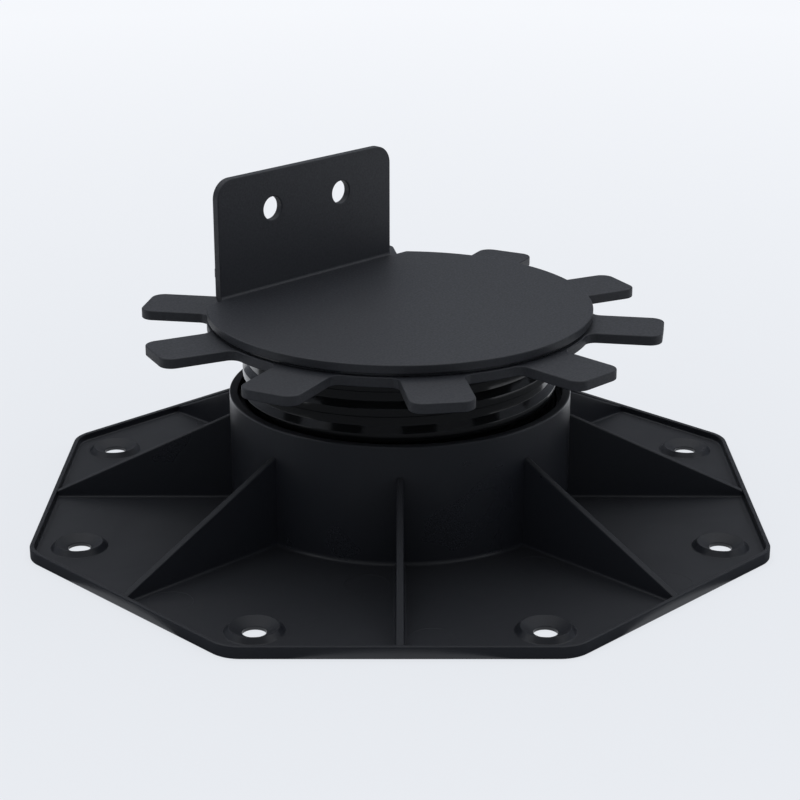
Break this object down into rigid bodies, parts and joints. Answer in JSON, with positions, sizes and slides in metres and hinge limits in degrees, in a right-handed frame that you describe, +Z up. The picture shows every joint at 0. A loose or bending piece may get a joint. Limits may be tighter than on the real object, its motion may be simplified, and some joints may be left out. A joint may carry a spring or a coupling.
{
  "type": "decking pedestal",
  "caption": "Height-adjustable decking pedestal: octagonal ribbed base, wide threaded stem turned by a tabbed plate, and a swivelling joist bracket.",
  "frame": {"origin": "centre of the base's underside", "axes": "+Z up along the thread, +Y from the thread's axis to the bracket's upright, X along the upright"},
  "size_m": [0.2026, 0.2026, 0.0934],
  "materials": {
    "base_moulding": "semi-gloss black moulded polypropylene",
    "stem_moulding": "gloss black moulded polyamide",
    "coated_sheet": "fine-textured matt black powder coat on steel sheet",
    "slip_sheet": "smooth black slip sheet",
    "fastener_steel": "plain zinc-plated steel"
  },
  "bodies": {
    "base": {"base": "base_moulding"},
    "slider": {"slip_disc": "slip_sheet"},
    "screw": {"screw_stem": "stem_moulding", "tab_plate": "coated_sheet"},
    "head": {"joist_bracket": "coated_sheet", "pivot_stud": "fastener_steel", "pivot_washer": "fastener_steel", "lock_nut": "fastener_steel"}
  },
  "joints": [
    {"name": "height_adjust", "type": "slide", "parent": "base", "child": "slider", "axis": [0, 0, 1], "range_m": [-0.0181, 0.006]},
    {"name": "screw_turn", "type": "hinge", "parent": "slider", "child": "screw", "pos_m": [0, 0, 0.0534], "axis": [0, 0, 1], "range_deg": [-931, 309]},
    {"name": "head_swivel", "type": "hinge", "parent": "slider", "child": "head", "pos_m": [0, 0, 0.0571], "axis": [0, 0, 1], "continuous": true}
  ],
  "couplings": [
    {"joint": "screw_turn", "follows": "height_adjust", "rad_per_m": 897.6}
  ]
}
